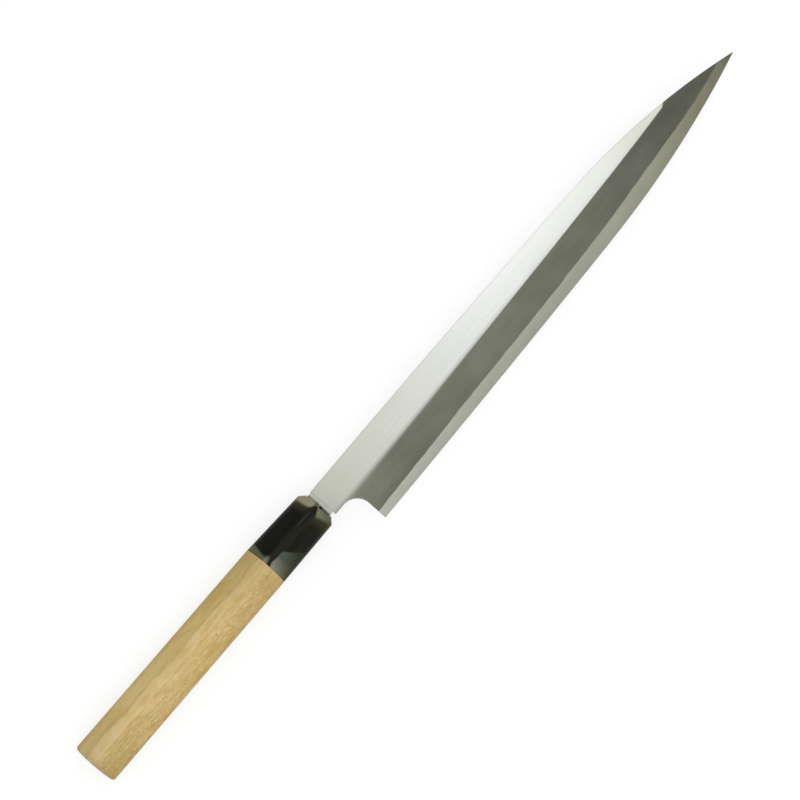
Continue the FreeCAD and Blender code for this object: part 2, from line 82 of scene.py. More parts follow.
def add(tree, kind, inputs, stops=(), **settings):
    """Add a node with its settings, values, links and ramp stops, and give back its outputs.

    The numbered inputs of MapRange are the value, the span it comes from and the span it goes to.
    Those of Mapping are the place, the shift, the turn and the scale.
    """
    made = tree.nodes.new(f"ShaderNode{kind}")
    for name, value in settings.items():
        setattr(made, name, value)
    for key, value in inputs.items():
        if isinstance(value, bpy.types.NodeSocket):
            tree.links.new(value, made.inputs[key])
        else:
            made.inputs[key].default_value = value
    for index, (place, colour) in enumerate(stops):
        elements = made.color_ramp.elements
        element = elements[index] if index < len(elements) else elements.new(place)
        element.position = place
        element.color = colour
    return made.outputs


def new_material(name):
    """Material with an empty node tree, the tree and the place on the object in metres."""
    material = bpy.data.materials.new(name)
    material.use_nodes = True
    tree = material.node_tree
    tree.nodes.clear()
    return material, tree, add(tree, "TexCoord", {})["Object"]


def mark_scale(*sizes):
    """Scale of a pattern whose marks have these sizes in millimetres along X, Y and Z."""
    return tuple(1 / (size * MM) for size in sizes)


# Satin flat: soft iron polished lengthwise, so bright and a little hazy. It darkens towards the neck,
# partly from duller polish and partly as painted shade. Beside the ridge line the stone has rubbed it,
# and painted shade there stands in for the rounding of the ridge line. At the end of the ridge line it
# runs out on a slant into the grey of the bevel. The polishing lines are drawn coarser than real ones,
# to show.
RUBBED_AND_SHADED_WIDTH = 1.8 * MM
FLAT_WIDTH = 11 * MM
satin_flat, tree, place = new_material("satin_polished_iron")
x, y = add(tree, "SeparateXYZ", {0: place})[:2]
along = add(tree, "MapRange", {0: x, 1: SHOULDER_X, 2: TIP_X})[0]
# Tone along the flat: darker towards the neck, partly duller polish and partly painted shade
tone = add(tree, "ValToRGB", {0: along}, stops=(
    (0.0, linear("#a9aaa1")), (0.03, linear("#b1b3a7")), (0.09, linear("#babcb2")),
    (0.32, linear("#cfd1cc")), (0.48, linear("#dcdedb")), (0.71, linear("#dcded8")),
    (0.80, linear("#d0d2c8")),
))[0]
streak_place = add(tree, "Mapping", {0: place, 3: mark_scale(30, 0.5, 0.5)})[0]
streaks = add(tree, "TexNoise", {0: streak_place, "Scale": 1, "Detail": 3})[0]
haze_place = add(tree, "Mapping", {0: place, 3: mark_scale(22, 7, 7)})[0]
haze = add(tree, "TexNoise", {0: haze_place, "Scale": 1, "Detail": 4})[0]
streak_tone = add(tree, "MapRange", {0: streaks, 1: NOISE_LOW, 2: NOISE_HIGH, 3: 0.96, 4: 1.03})[0]
haze_tone = add(tree, "MapRange", {0: haze, 1: NOISE_LOW, 2: NOISE_HIGH, 3: 0.95, 4: 1.04})[0]
polish_tone = add(tree, "Math", {0: streak_tone, 1: haze_tone}, operation="MULTIPLY")[0]
colour = add(tree, "Mix", {FACTOR: 1.0, FIRST: tone, SECOND: polish_tone}, data_type="RGBA",
             blend_type="MULTIPLY")[BLENDED]

# Ridge line between flat and bevel: its Y at the heel, its slope there, its bend, and where it ends
RIDGE_HEEL_Y = -0.575 * MM
RIDGE_SLOPE = 0.0207
RIDGE_BEND = 0.064
RIDGE_END_X = 153.5 * MM
RUN_OUT_SLANT = -2.0
RUN_OUT_START = RIDGE_END_X - 2.4 * MM
RUN_OUT_END = RIDGE_END_X - 1.2 * MM
from_heel = add(tree, "Math", {0: x, 1: HEEL_X}, operation="SUBTRACT")[0]
slope = add(tree, "Math", {0: from_heel, 1: RIDGE_BEND, 2: RIDGE_SLOPE}, operation="MULTIPLY_ADD")[0]
ridge_y = add(tree, "Math", {0: from_heel, 1: slope, 2: RIDGE_HEEL_Y}, operation="MULTIPLY_ADD")[0]
over_ridge = add(tree, "Math", {0: y, 1: ridge_y}, operation="SUBTRACT")[0]
# Beside the ridge line the flat is darker: rubbed by the stone, with painted shade of the rounded ridge
# line
rubbed_and_painted_light = add(tree, "MapRange", {0: over_ridge, 1: 0.0, 2: RUBBED_AND_SHADED_WIDTH, 3: 0.72, 4: 1.0},
             interpolation_type="SMOOTHSTEP")[0]
rubbed_and_shaded_stretch = add(tree, "MapRange", {0: along, 1: 0.35, 2: 0.6, 3: 1.0, 4: 0.25})[0]
colour = add(tree, "Mix", {FACTOR: rubbed_and_shaded_stretch, FIRST: colour, SECOND: rubbed_and_painted_light}, data_type="RGBA",
             blend_type="MULTIPLY")[BLENDED]
# Painted light across the flat: darker by the ridge line and lighter towards the spine, weaker near the
# neck
painted_light_across = add(tree, "MapRange", {0: over_ridge, 1: 0.0, 2: FLAT_WIDTH, 3: 0.95, 4: 1.05})[0]
painted_light_across_stretch = add(tree, "ValToRGB", {0: along}, stops=(
    (0.0, grey(0.7)), (0.1, grey(0.0)), (0.2, grey(0.0)), (0.45, grey(1.0)),
))[0]
colour = add(tree, "Mix", {FACTOR: painted_light_across_stretch, FIRST: colour, SECOND: painted_light_across}, data_type="RGBA",
             blend_type="MULTIPLY")[BLENDED]
slanted = add(tree, "Math", {0: over_ridge, 1: RUN_OUT_SLANT, 2: x}, operation="MULTIPLY_ADD")[0]
run_out = add(tree, "MapRange", {0: slanted, 1: RUN_OUT_START, 2: RUN_OUT_END},
              interpolation_type="SMOOTHSTEP")[0]
colour = add(tree, "Mix", {FACTOR: run_out, FIRST: colour, SECOND: linear("#5d5f51")},
             data_type="RGBA")[BLENDED]
roughness = add(tree, "MapRange", {0: haze, 1: NOISE_LOW, 2: NOISE_HIGH, 3: 0.27, 4: 0.38})[0]
bump = add(tree, "Bump", {"Height": streaks, "Strength": 0.15, "Distance": 0.01 * MM})[0]
shader = add(tree, "BsdfPrincipled", {
    "Base Color": colour, "Metallic": 1.0, "Roughness": roughness, "Normal": bump,
})[0]
add(tree, "OutputMaterial", {0: shader})

# Stone-ground bevel: misty grey iron above a wavy weld line, brighter hard steel below it. The iron
# darkens down to the weld, most near the heel. Under the flat the ridge line is rubbed soft near the
# heel and crisp further on, with a painted highlight that stands in for the rounding of the ridge line.
# The scratches of the stone are drawn coarser than real ones, to show.
WELD_Z = 7.3 * MM
WELD_SOFTNESS = 0.03 * MM

# Rise of the weld line in millimetres at shares of the way from the heel to the tip
WELD_WAVE = (
    (0.0, -0.03), (0.11, 0.01), (0.25, 0.09), (0.45, 0.01), (0.62, 0.02), (0.70, 0.08),
    (0.80, 0.02), (0.87, -0.13), (0.91, -0.15), (1.0, -0.09),
)
WELD_WAVE_RANGE = 0.4
RIPPLE_LENGTH = 7 * MM
RIPPLE_RISE = 0.1 * MM
stone_bevel, tree, place = new_material("stone_ground_iron_and_steel")
axes = add(tree, "SeparateXYZ", {0: place})
x, z = axes["X"], axes["Z"]
along = add(tree, "MapRange", {0: x, 1: HEEL_X, 2: TIP_X})[0]
wave = add(tree, "ValToRGB", {0: along}, stops=[
    (share, grey(0.5 + rise / WELD_WAVE_RANGE)) for share, rise in WELD_WAVE
])[0]
ripple_place = add(tree, "Mapping", {0: place, 3: (1 / RIPPLE_LENGTH, 0, 0)})[0]
ripple = add(tree, "TexNoise", {0: ripple_place, "Scale": 1, "Detail": 3})[0]
slow_rise = add(tree, "MapRange", {
    0: wave, 3: -0.5 * WELD_WAVE_RANGE * MM, 4: 0.5 * WELD_WAVE_RANGE * MM,
})[0]
quick_rise = add(tree, "MapRange", {0: ripple, 3: -RIPPLE_RISE, 4: RIPPLE_RISE})[0]
rise = add(tree, "Math", {0: slow_rise, 1: quick_rise}, operation="ADD")[0]
over_weld = add(tree, "Math", {0: z, 1: rise}, operation="SUBTRACT")[0]
iron = add(tree, "MapRange", {0: over_weld, 1: WELD_Z - WELD_SOFTNESS, 2: WELD_Z + WELD_SOFTNESS},
           interpolation_type="SMOOTHSTEP")[0]
mist_place = add(tree, "Mapping", {0: place, 3: mark_scale(16, 5, 5)})[0]
mist = add(tree, "TexNoise", {0: mist_place, "Scale": 1, "Detail": 4})[0]
iron_tone = add(tree, "ValToRGB", {0: mist}, stops=(
    (NOISE_LOW, linear("#7b7d6e")), (NOISE_HIGH, linear("#88897c")),
))[0]
bevel_tone = add(tree, "ValToRGB", {0: along}, stops=(
    (0.0, grey(1.0)), (0.11, grey(0.75)), (0.2, grey(0.82)), (0.36, grey(0.92)), (0.46, grey(0.79)),
    (0.6, grey(0.79)), (0.72, grey(0.7)), (0.8, grey(0.59)), (0.9, grey(0.56)), (1.0, grey(0.48)),
))[0]
iron_tone = add(tree, "Mix", {FACTOR: 1.0, FIRST: iron_tone, SECOND: bevel_tone}, data_type="RGBA",
                blend_type="MULTIPLY")[BLENDED]

# The shade above the weld is deeper and reaches higher near the heel
SHADE_TOP_AT_HEEL = WELD_Z + 1.7 * MM
SHADE_TOP_FURTHER_ON = WELD_Z + 0.9 * MM
shade_depth = add(tree, "ValToRGB", {0: along}, stops=(
    (0.03, grey(0.5)), (0.14, grey(0.22)), (0.28, grey(0.26)), (0.46, grey(0.05)),
))[0]
shade_top = add(tree, "MapRange", {
    0: along, 1: 0.0, 2: 0.3, 3: SHADE_TOP_AT_HEEL, 4: SHADE_TOP_FURTHER_ON,
})[0]
shade = add(tree, "MapRange", {0: over_weld, 1: WELD_Z, 2: shade_top, 3: shade_depth, 4: 0.0},
            interpolation_type="SMOOTHSTEP")[0]
iron_tone = add(tree, "Mix", {FACTOR: shade, FIRST: iron_tone, SECOND: linear("#5e604b")},
                data_type="RGBA")[BLENDED]

# The flat is FLAT_Z high at the mouth of the handle and sinks 1.6 mm over the 242 mm to the tip. The
# rubbed strip under it, lighter with a painted highlight of the rounded ridge line, fades out just
# before the ridge line ends.
MOUTH_X = -54 * MM
FLAT_Z = 10.1 * MM
FLAT_FALL = 1.6 / 242
RUB_FADE_START = RIDGE_END_X - 4 * MM
RUB_FADE_END = RIDGE_END_X - 1 * MM
flat_height = add(tree, "Math", {0: x, 1: -FLAT_FALL, 2: FLAT_Z + FLAT_FALL * MOUTH_X},
                  operation="MULTIPLY_ADD")[0]
under_flat = add(tree, "Math", {0: flat_height, 1: z}, operation="SUBTRACT")[0]
soft_drop = add(tree, "MapRange", {0: along, 1: 0.0, 2: 0.4, 3: 0.35 * MM, 4: 0.06 * MM})[0]
rub_and_highlight_depth = add(tree, "MapRange", {0: x, 1: RUB_FADE_START, 2: RUB_FADE_END, 3: 0.7, 4: 0.0})[0]
rubbed_and_painted_light = add(tree, "MapRange", {0: under_flat, 1: 0.0, 2: soft_drop, 3: rub_and_highlight_depth, 4: 0.0},
             interpolation_type="SMOOTHSTEP")[0]
# Under the flat the bevel is lighter: rubbed by the stone, with a painted highlight of the rounded ridge
# line
iron_tone = add(tree, "Mix", {FACTOR: rubbed_and_painted_light, FIRST: iron_tone, SECOND: linear("#a2a49c")},
                data_type="RGBA")[BLENDED]
steel_tone = add(tree, "ValToRGB", {0: along}, stops=(
    (0.0, linear("#adaea3")), (0.12, linear("#a9ab9f")), (0.3, linear("#a4a698")),
    (0.5, linear("#a0a293")), (0.65, linear("#9d9e8e")), (0.75, linear("#9b9b8a")),
    (0.87, linear("#8b8a76")), (0.97, linear("#868570")), (1.0, linear("#6a695a")),
))[0]
steel_mist = add(tree, "MapRange", {0: mist, 1: NOISE_LOW, 2: NOISE_HIGH, 3: 0.95, 4: 1.05})[0]
steel_tone = add(tree, "Mix", {FACTOR: 1.0, FIRST: steel_tone, SECOND: steel_mist}, data_type="RGBA",
                 blend_type="MULTIPLY")[BLENDED]
colour = add(tree, "Mix", {FACTOR: iron, FIRST: steel_tone, SECOND: iron_tone},
             data_type="RGBA")[BLENDED]
roughness = add(tree, "MapRange", {0: iron, 3: 0.40, 4: 0.46})[0]
scratch_place = add(tree, "Mapping", {0: place, 3: mark_scale(0.3, 6, 6)})[0]
scratches = add(tree, "TexNoise", {0: scratch_place, "Scale": 1, "Detail": 2})[0]
bump = add(tree, "Bump", {"Height": scratches, "Strength": 0.15, "Distance": 0.01 * MM})[0]
shader = add(tree, "BsdfPrincipled", {
    "Base Color": colour, "Metallic": 1.0, "Roughness": roughness, "Normal": bump,
})[0]
add(tree, "OutputMaterial", {0: shader})

# Belt-ground sides: spine, neck, heel and shoulder, with grinding lines across the thickness, which
# are drawn coarser than real ones, to show
ground_side, tree, place = new_material("belt_ground_iron")
line_place = add(tree, "Mapping", {0: place, 3: mark_scale(0.35, 0.35, 12)})[0]
lines = add(tree, "TexNoise", {0: line_place, "Scale": 1, "Detail": 3})[0]
colour = add(tree, "ValToRGB", {0: lines}, stops=(
    (NOISE_LOW, linear("#8c8d86")), (NOISE_HIGH, linear("#a4a59e")),
))[0]
bump = add(tree, "Bump", {"Height": lines, "Strength": 0.3, "Distance": 0.02 * MM})[0]
shader = add(tree, "BsdfPrincipled", {
    "Base Color": colour, "Metallic": 1.0, "Roughness": 0.36, "Normal": bump,
})[0]
add(tree, "OutputMaterial", {0: shader})

# Tang: rubbed as bright as the neck in front of the horn, with painted shadow in the gap of the slot,
# scaled black behind it. Each painted shadow mark has its X and Y, its stretch along Y, the size of
# its core, its reach and its depth.
SLOT_SHADOW_MARKS = (
    (-54.5 * MM, 5.2 * MM, 1.0, 0.4 * MM, 1.0 * MM, 1.0),
    (-54.6 * MM, 3.4 * MM, 4.0, 0.2 * MM, 0.8 * MM, 0.5),
    (-54.2 * MM, 7.6 * MM, 2.5, 0.2 * MM, 0.8 * MM, 0.6),
)


def with_slot_shadow(tree, place, colour):
    """Colour with painted shadow in the gap of the slot, where the tang goes into the horn."""
    for shadow_x, shadow_y, stretch, core, reach, depth in SLOT_SHADOW_MARKS:
        from_shadow_mark = add(tree, "Mapping", {
            0: place, 1: (-shadow_x, -shadow_y / stretch, 0), 3: (1, 1 / stretch, 0),
        })[0]
        far = add(tree, "VectorMath", {0: from_shadow_mark}, operation="LENGTH")["Value"]
        slot_shadow = add(tree, "MapRange", {0: far, 1: reach, 2: core, 3: 0.0, 4: depth},
                   interpolation_type="SMOOTHSTEP")[0]
        colour = add(tree, "Mix", {FACTOR: slot_shadow, FIRST: colour, SECOND: linear("#0d0c08")},
                     data_type="RGBA")[BLENDED]
    return colour


tang_skin, tree, place = new_material("rubbed_and_forge_scaled_iron")
x = add(tree, "SeparateXYZ", {0: place})["X"]
stains = add(tree, "TexNoise", {0: place, "Scale": 1 / (1.6 * MM), "Detail": 4})[0]
scale_tone = add(tree, "ValToRGB", {0: stains}, stops=(
    (0.4, linear("#3a3832")), (0.6, linear("#66655d")),
))[0]
rubbed_tone = add(tree, "ValToRGB", {0: stains}, stops=(
    (0.3, linear("#a9aaa1")), (0.6, linear("#b5b6ac")),
))[0]
in_front = add(tree, "MapRange", {0: x, 1: MOUTH_X - 0.3 * MM, 2: MOUTH_X + 0.9 * MM},
               interpolation_type="SMOOTHSTEP")[0]
colour = add(tree, "Mix", {FACTOR: in_front, FIRST: scale_tone, SECOND: rubbed_tone},
             data_type="RGBA")[BLENDED]
bump = add(tree, "Bump", {"Height": stains, "Strength": 0.3, "Distance": 0.05 * MM})[0]
# The gap of the slot at the mouth gets painted shadow
shader = add(tree, "BsdfPrincipled", {
    "Base Color": with_slot_shadow(tree, place, colour), "Metallic": 1.0, "Roughness": 0.42, "Normal": bump,
})[0]
add(tree, "OutputMaterial", {0: shader})


MERGE_DISTANCE = 0.001 * MM
SMOOTH_ANGLE = math.radians(35)


def dressed_copy(node, piece, finishes, finish_of):
    """Merged copy of a node whose faces take their finish by what they are on the real piece."""
    shape = bmesh.new()
    shape.from_mesh(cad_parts[node].data)
    bmesh.ops.remove_doubles(shape, verts=shape.verts, dist=MERGE_DISTANCE)
    shape.normal_update()
    for face in shape.faces:
        face.material_index = finish_of(face.normal, face.calc_center_median())
        face.smooth = True
    for edge in shape.edges:
        finishes_met = {face.material_index for face in edge.link_faces}
        edge.smooth = len(finishes_met) == 1 and edge.calc_face_angle(0) < SMOOTH_ANGLE
    mesh = bpy.data.meshes.new(piece)
    shape.to_mesh(mesh)
    shape.free()
    for finish in finishes:
        mesh.materials.append(finish)
    dressed = bpy.data.objects.new(piece, mesh)
    bpy.context.scene.collection.objects.link(dressed)
    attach(dressed, "root")
    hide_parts(node)


IRON_FLAT, IRON_BEVEL, IRON_SIDE, IRON_TANG = 0, 1, 2, 3
TANG_FRONT_X = SHOULDER_X - 0.1 * MM
FLAT_UP, BEVEL_UP, CORNER_UP = 0.999, 0.9, 0.5


def iron_finish(normal, centre):
    """Finish of one face of the iron body, by its place and by how far it looks up.

    The broken corner along the spine is polished with the flat.
    """
    if centre.x < TANG_FRONT_X:
        return IRON_TANG
    if normal.z > FLAT_UP:
        return IRON_FLAT
    if normal.z > BEVEL_UP:
        return IRON_BEVEL
    if normal.z > CORNER_UP and normal.y > 0:
        return IRON_FLAT
    return IRON_SIDE


dressed_copy("blade_cladding", "iron_body", (satin_flat, stone_bevel, ground_side, tang_skin),
             iron_finish)

# Hard steel layer: the whole back of the blade and the bright strip along the edge.
# It is forge-welded under the iron, hollowed on a wheel and laid flat on a stone, which leaves a
# polished rim round the hollow.

# Polished rim: close to a mirror, with faint lines along the blade, drawn coarser than real ones.
# The lines are a metre deep, so that the height of the back doesn't change them.
LINE_DEPTH = 1000
polished_rim, tree, place = new_material("stone_polished_steel")
line_place = add(tree, "Mapping", {0: place, 3: mark_scale(20, 0.4, LINE_DEPTH)})[0]
lines = add(tree, "TexNoise", {0: line_place, "Scale": 1, "Detail": 3})[0]
colour = add(tree, "ValToRGB", {0: lines}, stops=(
    (NOISE_LOW, linear("#c3c5c2")), (NOISE_HIGH, linear("#d6d8d5")),
))[0]
shader = add(tree, "BsdfPrincipled", {"Base Color": colour, "Metallic": 1.0, "Roughness": 0.18})[0]
add(tree, "OutputMaterial", {0: shader})

# Wheel-ground hollow: duller and greyer, with the lines of the wheel across the blade, drawn coarser
wheel_hollow, tree, place = new_material("wheel_ground_steel")
line_place = add(tree, "Mapping", {0: place, 3: mark_scale(0.4, 15, LINE_DEPTH)})[0]
lines = add(tree, "TexNoise", {0: line_place, "Scale": 1, "Detail": 3})[0]
colour = add(tree, "ValToRGB", {0: lines}, stops=(
    (NOISE_LOW, linear("#a4a6a2")), (NOISE_HIGH, linear("#bcbeba")),
))[0]
bump = add(tree, "Bump", {"Height": lines, "Strength": 0.3, "Distance": 0.02 * MM})[0]
shader = add(tree, "BsdfPrincipled", {
    "Base Color": colour, "Metallic": 1.0, "Roughness": 0.34, "Normal": bump,
})[0]
add(tree, "OutputMaterial", {0: shader})

STEEL_BEVEL, STEEL_RIM, STEEL_HOLLOW, STEEL_SIDE = 0, 1, 2, 3
BACK_DOWN = -0.9
BACK_Z = 6.3 * MM
BACK_TOLERANCE = 0.002 * MM
THIN_END = (167 * MM, 169 * MM)
THIN_END_HALF = 2 * MM


def steel_finish(normal, centre):
    """Finish of one face of the steel layer, whose rim lies in the plane of the back.

    Towards the tip the hollow is so thin that two of its faces lie in that plane too.
    """
    if normal.z > BEVEL_UP:
        return STEEL_BEVEL
    if normal.z > BACK_DOWN:
        return STEEL_SIDE
    in_thin_end = THIN_END[0] < centre.x < THIN_END[1] and abs(centre.y) < THIN_END_HALF
    if centre.z < BACK_Z + BACK_TOLERANCE and not in_thin_end:
        return STEEL_RIM
    return STEEL_HOLLOW


dressed_copy("edge_steel", "steel_layer", (stone_bevel, polished_rim, wheel_hollow, ground_side),
             steel_finish)

# Buffalo horn ferrule: a solid cap, sawn, filed to the chestnut section of the grip and polished.
# It is near black, with pale olive horn at the mouth, a grey-green core that fans out behind on the
# edge side, and a thin olive band at the joint on the spine side.
JOINT_X = -85.5 * MM
HORN_RIDGE_Y = 7.5 * MM
SPINE_FACET_START = 7.6 * MM
SPINE_FACET_FULL = 9.0 * MM
horn, tree, place = new_material("polished_buffalo_horn")
x, y = add(tree, "SeparateXYZ", {0: place})[:2]
grain_place = add(tree, "Mapping", {0: place, 3: mark_scale(14, 2.5, 2.5)})[0]
grain = add(tree, "TexNoise", {0: grain_place, "Scale": 1, "Detail": 5})[0]
colour = add(tree, "ValToRGB", {0: grain}, stops=(
    (0.35, linear("#13130e")), (0.7, linear("#24241b")),
))[0]
# Painted shade: the facet on the spine side is darkened to a quarter
spine_shade = add(tree, "MapRange", {
    0: y, 1: SPINE_FACET_START, 2: SPINE_FACET_FULL, 3: 1.0, 4: 0.25,
})[0]
colour = add(tree, "Mix", {FACTOR: 1.0, FIRST: colour, SECOND: spine_shade}, data_type="RGBA",
             blend_type="MULTIPLY")[BLENDED]

# The ridge gets a painted highlight in front, up to a few millimetres behind the mouth
from_ridge = add(tree, "Math", {0: y, 1: HORN_RIDGE_Y}, operation="SUBTRACT")[0]
ridge_far = add(tree, "Math", {0: from_ridge}, operation="ABSOLUTE")[0]
ridge_highlight = add(tree, "MapRange", {0: ridge_far, 1: 0.8 * MM, 2: 0.1 * MM},
                 interpolation_type="SMOOTHSTEP")[0]
to_mouth = add(tree, "MapRange", {0: x, 1: MOUTH_X - 17 * MM, 2: MOUTH_X})[0]
ridge_highlight_stretch = add(tree, "ValToRGB", {0: to_mouth}, stops=(
    (0.15, grey(0.0)), (0.45, grey(0.5)), (0.62, grey(0.45)), (0.74, grey(0.0)),
))[0]
ridge_highlight = add(tree, "Math", {0: ridge_highlight, 1: ridge_highlight_stretch}, operation="MULTIPLY")[0]
colour = add(tree, "Mix", {FACTOR: ridge_highlight, FIRST: colour, SECOND: linear("#3c3c36")},
             data_type="RGBA")[BLENDED]

# Places shifted to and fro, so that the borders between the colours of the horn wander
WANDER_LENGTH = 6 * MM
WANDER_REACH = 0.6 * MM
cloud = add(tree, "TexNoise", {0: place, "Scale": 1 / WANDER_LENGTH, "Detail": 1})[0]
wander = add(tree, "MapRange", {
    0: cloud, 1: NOISE_LOW, 2: NOISE_HIGH, 3: -WANDER_REACH, 4: WANDER_REACH,
})[0]
loose_x = add(tree, "Math", {0: x, 1: wander}, operation="ADD")[0]
loose_y = add(tree, "Math", {0: y, 1: wander}, operation="ADD")[0]

# Thin horn at the mouth lets light through: brown further back, then pale olive up to the lip. The
# pale part starts on a slant, further back on the edge side, and is dark where the core comes up to
# the lip beside the ridge, wider further back.
PALE_SLANT = 0.2
PALE_EDGE_X = MOUTH_X - 5.1 * MM
PALE_SPINE_X = MOUTH_X - 2.9 * MM
CORE_Y = 6.8 * MM
CORE_FLARE = 1.6 * MM
MOUTH_WANDER = 0.4
mouth_x = add(tree, "Math", {0: wander, 1: MOUTH_WANDER, 2: x}, operation="MULTIPLY_ADD")[0]
slanted = add(tree, "Math", {0: from_ridge, 1: PALE_SLANT, 2: mouth_x}, operation="MULTIPLY_ADD")[0]
pale_start = add(tree, "MapRange", {
    0: from_ridge, 1: -1.0 * MM, 2: 0.6 * MM, 3: PALE_EDGE_X, 4: PALE_SPINE_X,
})[0]
in_pale = add(tree, "Math", {0: slanted, 1: pale_start}, operation="SUBTRACT")[0]
from_core = add(tree, "Math", {0: y, 1: CORE_Y}, operation="SUBTRACT")[0]
core_far = add(tree, "Math", {0: from_core}, operation="ABSOLUTE")[0]
brown = add(tree, "MapRange", {0: in_pale, 1: -5.0 * MM, 2: -0.4 * MM},
            interpolation_type="SMOOTHSTEP")[0]
brown_side = add(tree, "MapRange", {0: core_far, 1: 0.6 * MM, 2: 3.6 * MM},
                 interpolation_type="SMOOTHSTEP")[0]
brown = add(tree, "Math", {0: brown, 1: brown_side}, operation="MULTIPLY")[0]
colour = add(tree, "Mix", {FACTOR: brown, FIRST: colour, SECOND: linear("#37351f")},
             data_type="RGBA")[BLENDED]
pale = add(tree, "MapRange", {0: in_pale, 1: -1.0 * MM, 2: 0.9 * MM},
           interpolation_type="SMOOTHSTEP")[0]
flare = add(tree, "MapRange", {
    0: x, 1: MOUTH_X - 5.0 * MM, 2: MOUTH_X - 1.5 * MM, 3: CORE_FLARE, 4: 0.0,
})[0]
flare_far = add(tree, "Math", {0: core_far, 1: flare}, operation="SUBTRACT")[0]
pale_side = add(tree, "MapRange", {0: flare_far, 1: 0.3 * MM, 2: 1.5 * MM},
                interpolation_type="SMOOTHSTEP")[0]
lip = add(tree, "MapRange", {0: x, 1: MOUTH_X - 1.6 * MM, 2: MOUTH_X - 0.6 * MM, 4: 0.8},
          interpolation_type="SMOOTHSTEP")[0]
pale_side = add(tree, "Math", {0: pale_side, 1: lip}, operation="MAXIMUM")[0]
pale = add(tree, "Math", {0: pale, 1: pale_side}, operation="MULTIPLY")[0]
pale_share = add(tree, "MapRange", {0: y, 1: -2 * MM, 2: 15 * MM})[0]
pale_tone = add(tree, "ValToRGB", {0: pale_share}, stops=(
    (0.0, linear("#555640")), (0.4, linear("#787961")), (0.6, linear("#96957b")),
    (1.0, linear("#8d8c66")),
))[0]
colour = add(tree, "Mix", {FACTOR: pale, FIRST: colour, SECOND: pale_tone},
             data_type="RGBA")[BLENDED]

# Grey-green core: a fan with a slanting front, lightest beside the ridge at the joint
FAN_SLANT = 0.857
FAN_FRONT = -73.2 * MM
FAN_FRONT_SOFTNESS = 0.5 * MM
FAN_RIDGE_Y = 5.5 * MM
FAN_RIDGE_SOFTNESS = 0.4 * MM
FAN_DARK_X = -74 * MM
slanted = add(tree, "Math", {0: loose_y, 1: FAN_SLANT, 2: x}, operation="MULTIPLY_ADD")[0]
behind_front = add(tree, "MapRange", {
    0: slanted, 1: FAN_FRONT + FAN_FRONT_SOFTNESS, 2: FAN_FRONT - FAN_FRONT_SOFTNESS,
}, interpolation_type="SMOOTHSTEP")[0]
below_ridge = add(tree, "MapRange", {
    0: loose_y, 1: FAN_RIDGE_Y + FAN_RIDGE_SOFTNESS, 2: FAN_RIDGE_Y - FAN_RIDGE_SOFTNESS,
}, interpolation_type="SMOOTHSTEP")[0]
fan = add(tree, "Math", {0: behind_front, 1: below_ridge}, operation="MULTIPLY")[0]
to_joint = add(tree, "MapRange", {0: loose_x, 1: FAN_DARK_X, 2: JOINT_X})[0]
fan_tone = add(tree, "ValToRGB", {0: to_joint}, stops=(
    (0.0, linear("#464c44")), (0.5, linear("#555b52")), (0.8, linear("#787a6e")),
    (1.0, linear("#888a7b")),
))[0]
to_edge = add(tree, "MapRange", {0: y, 1: 4.5 * MM, 2: -2.5 * MM})[0]
edge_tone = add(tree, "ValToRGB", {0: to_edge}, stops=(
    (0.0, grey(1.0)), (0.5, linear("#d2d4be")), (0.8, linear("#b4b598")),
    (1.0, linear("#6c6c58")),
))[0]
fan_tone = add(tree, "Mix", {FACTOR: 1.0, FIRST: fan_tone, SECOND: edge_tone}, data_type="RGBA",
               blend_type="MULTIPLY")[BLENDED]
colour = add(tree, "Mix", {FACTOR: fan, FIRST: colour, SECOND: fan_tone},
             data_type="RGBA")[BLENDED]

# Olive band at the joint on the spine side, wider towards the spine, with a grey streak by the ridge
STREAK_X = JOINT_X + 0.8 * MM
STREAK_Y = 8.2 * MM
STREAK_STRETCH = 2.2
BAND_SLANT = -0.36
BAND_FRONT = JOINT_X - 1.0 * MM
BAND_FULL = BAND_FRONT - 1.8 * MM
slanted = add(tree, "Math", {0: y, 1: BAND_SLANT, 2: loose_x}, operation="MULTIPLY_ADD")[0]
band = add(tree, "MapRange", {0: slanted, 1: BAND_FRONT, 2: BAND_FULL},
           interpolation_type="SMOOTHSTEP")[0]
spine_side = add(tree, "MapRange", {0: y, 1: SPINE_FACET_START, 2: SPINE_FACET_FULL},
                 interpolation_type="SMOOTHSTEP")[0]
band = add(tree, "Math", {0: band, 1: spine_side}, operation="MULTIPLY")[0]
colour = add(tree, "Mix", {FACTOR: band, FIRST: colour, SECOND: linear("#575a42")},
             data_type="RGBA")[BLENDED]
streak_place = add(tree, "CombineXYZ", {0: loose_x, 1: loose_y})[0]
streak_place = add(tree, "Mapping", {
    0: streak_place, 1: (-STREAK_X / STREAK_STRETCH, -STREAK_Y, 0), 3: (1 / STREAK_STRETCH, 1, 0),
})[0]
streak_far = add(tree, "VectorMath", {0: streak_place}, operation="LENGTH")["Value"]
streak = add(tree, "MapRange", {0: streak_far, 1: 1.5 * MM, 2: 0.1 * MM, 3: 0.0, 4: 0.75},
             interpolation_type="SMOOTHSTEP")[0]
colour = add(tree, "Mix", {FACTOR: streak, FIRST: colour, SECOND: linear("#8a8674")},
             data_type="RGBA")[BLENDED]
bump = add(tree, "Bump", {"Height": grain, "Strength": 0.15, "Distance": 0.03 * MM})[0]
# The gap of the slot at the mouth gets painted shadow
shader = add(tree, "BsdfPrincipled", {
    "Base Color": with_slot_shadow(tree, place, colour), "Roughness": 0.38, "IOR": 1.54, "Specular IOR Level": 0.08,
    "Normal": bump,
})[0]
add(tree, "OutputMaterial", {0: shader})
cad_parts["horn_ferrule"].material_slots[0].material = horn

